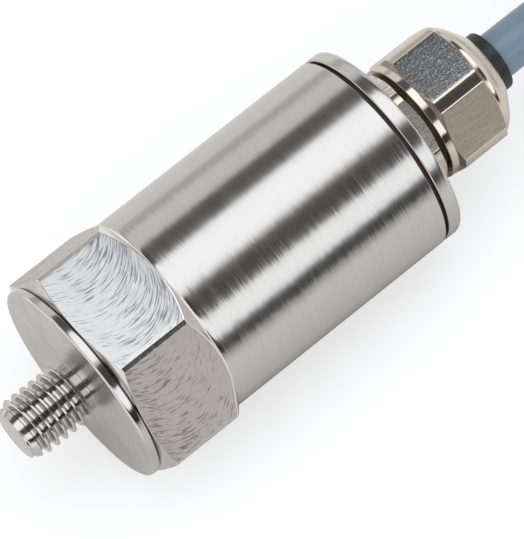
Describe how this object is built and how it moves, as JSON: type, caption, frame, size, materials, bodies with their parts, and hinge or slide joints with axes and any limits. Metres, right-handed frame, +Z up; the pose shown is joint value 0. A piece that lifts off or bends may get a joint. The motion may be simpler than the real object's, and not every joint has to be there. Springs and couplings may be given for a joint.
{
  "type": "vibration sensor",
  "caption": "Stud-mounted cylindrical vibration sensor in stainless steel, with a hexagon base, a screwed cap, a cable gland and a tied grey-blue cable.",
  "frame": {"origin": "centre of the mounting face, on the sensor's axis", "axes": "+X along the sensor's axis, from the mounting face towards the cable; +Z up, square to the hexagon flat that the sensor lies on"},
  "size_m": [0.2065, 0.0569, 0.0329],
  "materials": {
    "stainless": "turned and milled",
    "nickel": "bright nickel plate",
    "seal_rubber": "satin",
    "jacket": "satin",
    "ceramic": "fired",
    "insulator": "ground",
    "contact": "bright",
    "dense_metal": "ground",
    "black_steel": "blackened",
    "spring_steel": "ground",
    "brass": "turned",
    "board": "lacquered",
    "chip": "moulded",
    "terminal": "moulded",
    "screw_steel": "bright",
    "brown_core": "extruded",
    "white_core": "extruded",
    "red_core": "extruded",
    "tinned": "bright",
    "nylon": "moulded",
    "shrink": "satin"
  },
  "bodies": {
    "root": {"housing": "stainless", "insulating_washer": "insulator", "piezo_ring_lower": "ceramic", "electrode": "contact", "piezo_ring_upper": "ceramic", "seismic_mass": "dense_metal", "spring_washer": "spring_steel", "preload_bolt": "black_steel", "signal_wire": "red_core", "board_standoffs": "brass", "circuit_board": "board", "board_components": "chip", "board_screws": "screw_steel", "terminal_block": "terminal", "terminal_screws": "screw_steel", "cap": "stainless", "cap_seal_ring": "seal_rubber", "gland_body": "nickel", "gland_seal_ring": "seal_rubber", "gland_seal": "seal_rubber", "gland_nut": "nickel", "cable_tail": "jacket", "core_brown": "brown_core", "core_white": "white_core", "shield_drain": "tinned", "cable_lead": "jacket", "cable_hank": "jacket", "hank_ties": "nylon", "cable_end": "jacket", "end_sleeve": "shrink", "lead_brown": "brown_core", "lead_white": "white_core", "lead_shield": "tinned", "lead_ferrules": "tinned"}
  },
  "joints": []
}
